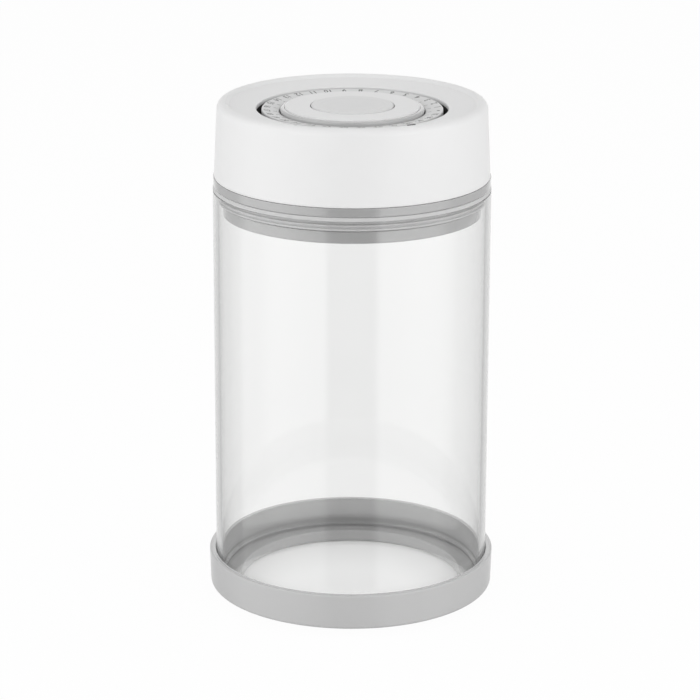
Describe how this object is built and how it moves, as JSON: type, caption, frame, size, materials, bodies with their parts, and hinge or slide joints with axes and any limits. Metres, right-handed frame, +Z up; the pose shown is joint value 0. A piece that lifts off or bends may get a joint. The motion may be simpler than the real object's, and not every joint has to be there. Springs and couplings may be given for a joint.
{
  "type": "vacuum seal canister",
  "caption": "Round clear glass food canister in a grey base ring, with a white vacuum lid that holds a pull-up pump knob, a release button and a date dial.",
  "frame": {"origin": "on the canister's axis, at the table, in the plane that the foot ring rests on", "axes": "+Z up along the canister's axis; +X and +Y are equal, with the dial's first number at +X"},
  "size_m": [0.1102, 0.1102, 0.1935],
  "materials": {
    "clear_glass": "clear, polished, very faint grey-green",
    "white_plastic": "satin moulded white",
    "grey_plastic": "satin moulded light grey",
    "dial_plastic": "fine satin light grey with printed numbers",
    "bearing_plastic": "smooth natural",
    "grey_rubber": "soft matte silicone",
    "black_rubber": "greased black rubber",
    "clear_rubber": "translucent silicone",
    "steel": "bright spring steel",
    "filter_felt": "white felt"
  },
  "bodies": {
    "jar": {"glass_jar": "clear_glass", "base_ring": "grey_plastic", "foot_ring": "grey_rubber"},
    "lid": {"lid_shell": "white_plastic", "lid_plug": "grey_plastic", "mouth_seal": "grey_rubber", "plug_seal": "grey_rubber", "pump_barrel": "grey_plastic", "barrel_seal": "black_rubber", "barrel_screws": "steel", "barrel_cap": "grey_plastic", "rod_bush": "bearing_plastic", "inlet_valve": "clear_rubber", "valve_cover": "grey_plastic", "filter_disc": "filter_felt"},
    "pump": {"knob_body": "grey_plastic", "knob_cap": "white_plastic", "piston": "bearing_plastic", "piston_ring": "black_rubber", "piston_clip": "steel", "outlet_valve": "clear_rubber", "stem_seal": "black_rubber", "spring_washer": "steel", "button_spring": "steel"},
    "button": {"release_button": "white_plastic", "release_stem": "steel"},
    "dial": {"date_dial": "dial_plastic"}
  },
  "joints": [
    {"name": "lid_lift", "type": "slide", "parent": "jar", "child": "lid", "axis": [0, 0, 1], "range_m": [0, 0.06]},
    {"name": "pump_pull", "type": "slide", "parent": "lid", "child": "pump", "axis": [0, 0, 1], "range_m": [0, 0.012]},
    {"name": "button_press", "type": "slide", "parent": "pump", "child": "button", "axis": [0, 0, -1], "range_m": [0, 0.002], "stiffness_N_per_m": 400, "springref_m": -0.002, "deforming": ["button_spring"]},
    {"name": "dial_turn", "type": "hinge", "parent": "lid", "child": "dial", "pos_m": [0, 0, 0.19], "axis": [0, 0, 1], "continuous": true}
  ]
}
